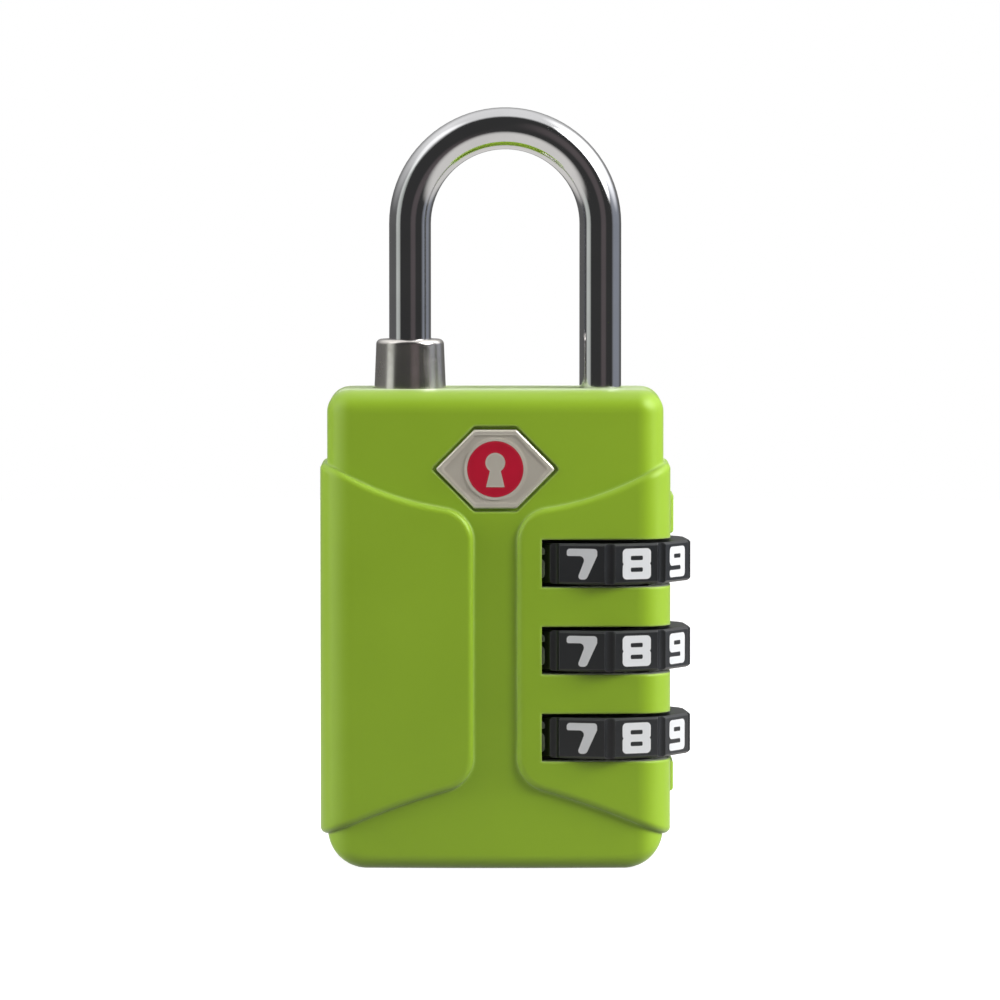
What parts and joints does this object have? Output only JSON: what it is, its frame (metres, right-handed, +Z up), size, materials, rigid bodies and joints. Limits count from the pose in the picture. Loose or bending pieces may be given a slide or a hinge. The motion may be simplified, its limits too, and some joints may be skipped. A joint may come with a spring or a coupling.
{
  "type": "luggage combination padlock",
  "caption": "Small padlock with a round U shackle, side-mounted combination dials, a plastic body and a keyed release collar.",
  "frame": {"origin": "centre of the flat bottom face that the padlock stands on", "axes": "+Z up along the shackle legs, -Y to the front with the badge, +X towards the dials"},
  "size_m": [0.0318, 0.0156, 0.0651],
  "materials": {
    "shell": "satin moulded ABS, lime green",
    "zinc": "die-cast zinc, as cast",
    "collar_zinc": "die-cast zinc, tumbled and satin plated",
    "chrome": "polished chrome plate over steel bar",
    "dial_plastic": "black moulded plastic with white figures",
    "figure_paint": "white figures moulded flush with the dial",
    "steel": "bright turned or drawn steel",
    "spring_steel": "spring wire and strip",
    "brass": "turned or stamped brass",
    "badge_metal": "satin nickel plate",
    "enamel": "deep red enamel resin"
  },
  "bodies": {
    "housing": {"front_shell": "shell", "rear_shell": "shell", "shell_pins": "steel", "chassis": "zinc", "heel_bush": "brass", "spring_seat": "zinc", "sleeve_spring": "spring_steel", "shackle_spring": "spring_steel", "detent_leaf": "spring_steel", "key_cylinder": "zinc", "badge_plate": "badge_metal", "badge_inlay": "enamel"},
    "shackle_body": {"shackle": "chrome"},
    "collar_body": {"collar": "collar_zinc", "collar_pin": "steel"},
    "plug_body": {"key_plug": "brass", "wafers": "brass", "plug_clip": "spring_steel", "lift_cam": "zinc"},
    "dial_1_body": {"dial_1": "dial_plastic", "dial_1_figures": "figure_paint"},
    "sleeve_1_body": {"sleeve_1": "zinc"},
    "dial_2_body": {"dial_2": "dial_plastic", "dial_2_figures": "figure_paint"},
    "sleeve_2_body": {"sleeve_2": "zinc"},
    "dial_3_body": {"dial_3": "dial_plastic", "dial_3_figures": "figure_paint"},
    "sleeve_3_body": {"sleeve_3": "zinc"}
  },
  "joints": [
    {"name": "shackle_lift", "type": "slide", "parent": "housing", "child": "shackle_body", "axis": [0, 0, 1], "range_m": [0, 0.00745], "deforming": ["shackle_spring"]},
    {"name": "dial_1_turn", "type": "hinge", "parent": "housing", "child": "dial_1_body", "pos_m": [0.00903, 0, 0.02625], "axis": [0, 0, 1], "continuous": true},
    {"name": "dial_2_turn", "type": "hinge", "parent": "housing", "child": "dial_2_body", "pos_m": [0.00903, 0, 0.0188], "axis": [0, 0, 1], "continuous": true},
    {"name": "dial_3_turn", "type": "hinge", "parent": "housing", "child": "dial_3_body", "pos_m": [0.00903, 0, 0.01135], "axis": [0, 0, 1], "continuous": true},
    {"name": "sleeve_3_reset", "type": "slide", "parent": "dial_3_body", "child": "sleeve_3_body", "axis": [0, 0, -1], "range_m": [0, 0.0012], "stiffness_N_per_m": 400, "springref_m": -0.003, "deforming": ["sleeve_spring"]},
    {"name": "sleeve_1_reset", "type": "slide", "parent": "dial_1_body", "child": "sleeve_1_body", "axis": [0, 0, -1], "range_m": [0, 0.0012]},
    {"name": "sleeve_2_reset", "type": "slide", "parent": "dial_2_body", "child": "sleeve_2_body", "axis": [0, 0, -1], "range_m": [0, 0.0012]},
    {"name": "key_turn", "type": "hinge", "parent": "housing", "child": "plug_body", "pos_m": [-0.00734, 0, 0.007], "axis": [0, 0, 1], "range_deg": [0, 90]},
    {"name": "collar_drop", "type": "slide", "parent": "housing", "child": "collar_body", "axis": [0, 0, -1], "range_m": [0, 0.00425]}
  ],
  "couplings": [
    {"joint": "sleeve_1_reset", "follows": "sleeve_3_reset", "ratio": 1},
    {"joint": "sleeve_2_reset", "follows": "sleeve_3_reset", "ratio": 1},
    {"joint": "key_turn", "follows": "collar_drop", "rad_per_m": 369.6}
  ]
}
